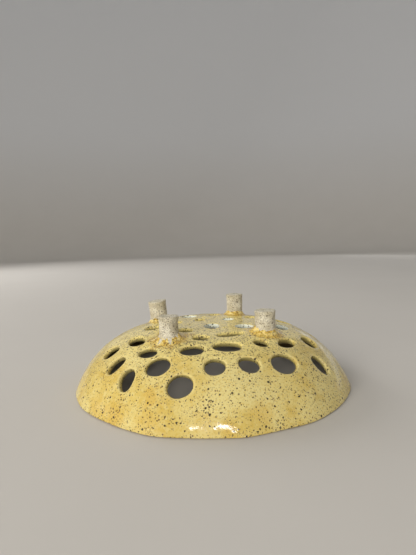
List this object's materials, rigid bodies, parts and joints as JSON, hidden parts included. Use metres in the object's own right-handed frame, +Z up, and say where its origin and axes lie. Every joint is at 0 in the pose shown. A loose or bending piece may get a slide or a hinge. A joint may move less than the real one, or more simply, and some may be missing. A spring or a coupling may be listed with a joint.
{
  "type": "flower frog",
  "caption": "Hand-built stoneware flower frog: a low pierced dome that stands on its rim, with short clay studs on the crown.",
  "frame": {"origin": "centre of the footprint, on the plane that the rim stands on", "axes": "+Z up through the crown, -Y to the front, +X to the right seen from the front"},
  "size_m": [0.2578, 0.2596, 0.0755],
  "materials": {
    "speckled_glaze": "glossy butter-yellow glaze with iron speckles, pooling amber in places",
    "bare_stoneware": "matte unglazed buff clay with dark iron speckles",
    "flashed_clay": "thin glaze flashed ochre over smeared clay"
  },
  "bodies": {
    "root": {"dome_shell": "speckled_glaze", "foot_front_left": "bare_stoneware", "luting_collar_front_left": "flashed_clay", "foot_front_right": "bare_stoneware", "luting_collar_front_right": "flashed_clay", "foot_back_right": "bare_stoneware", "luting_collar_back_right": "flashed_clay", "foot_back_left": "bare_stoneware", "luting_collar_back_left": "flashed_clay"}
  },
  "joints": []
}
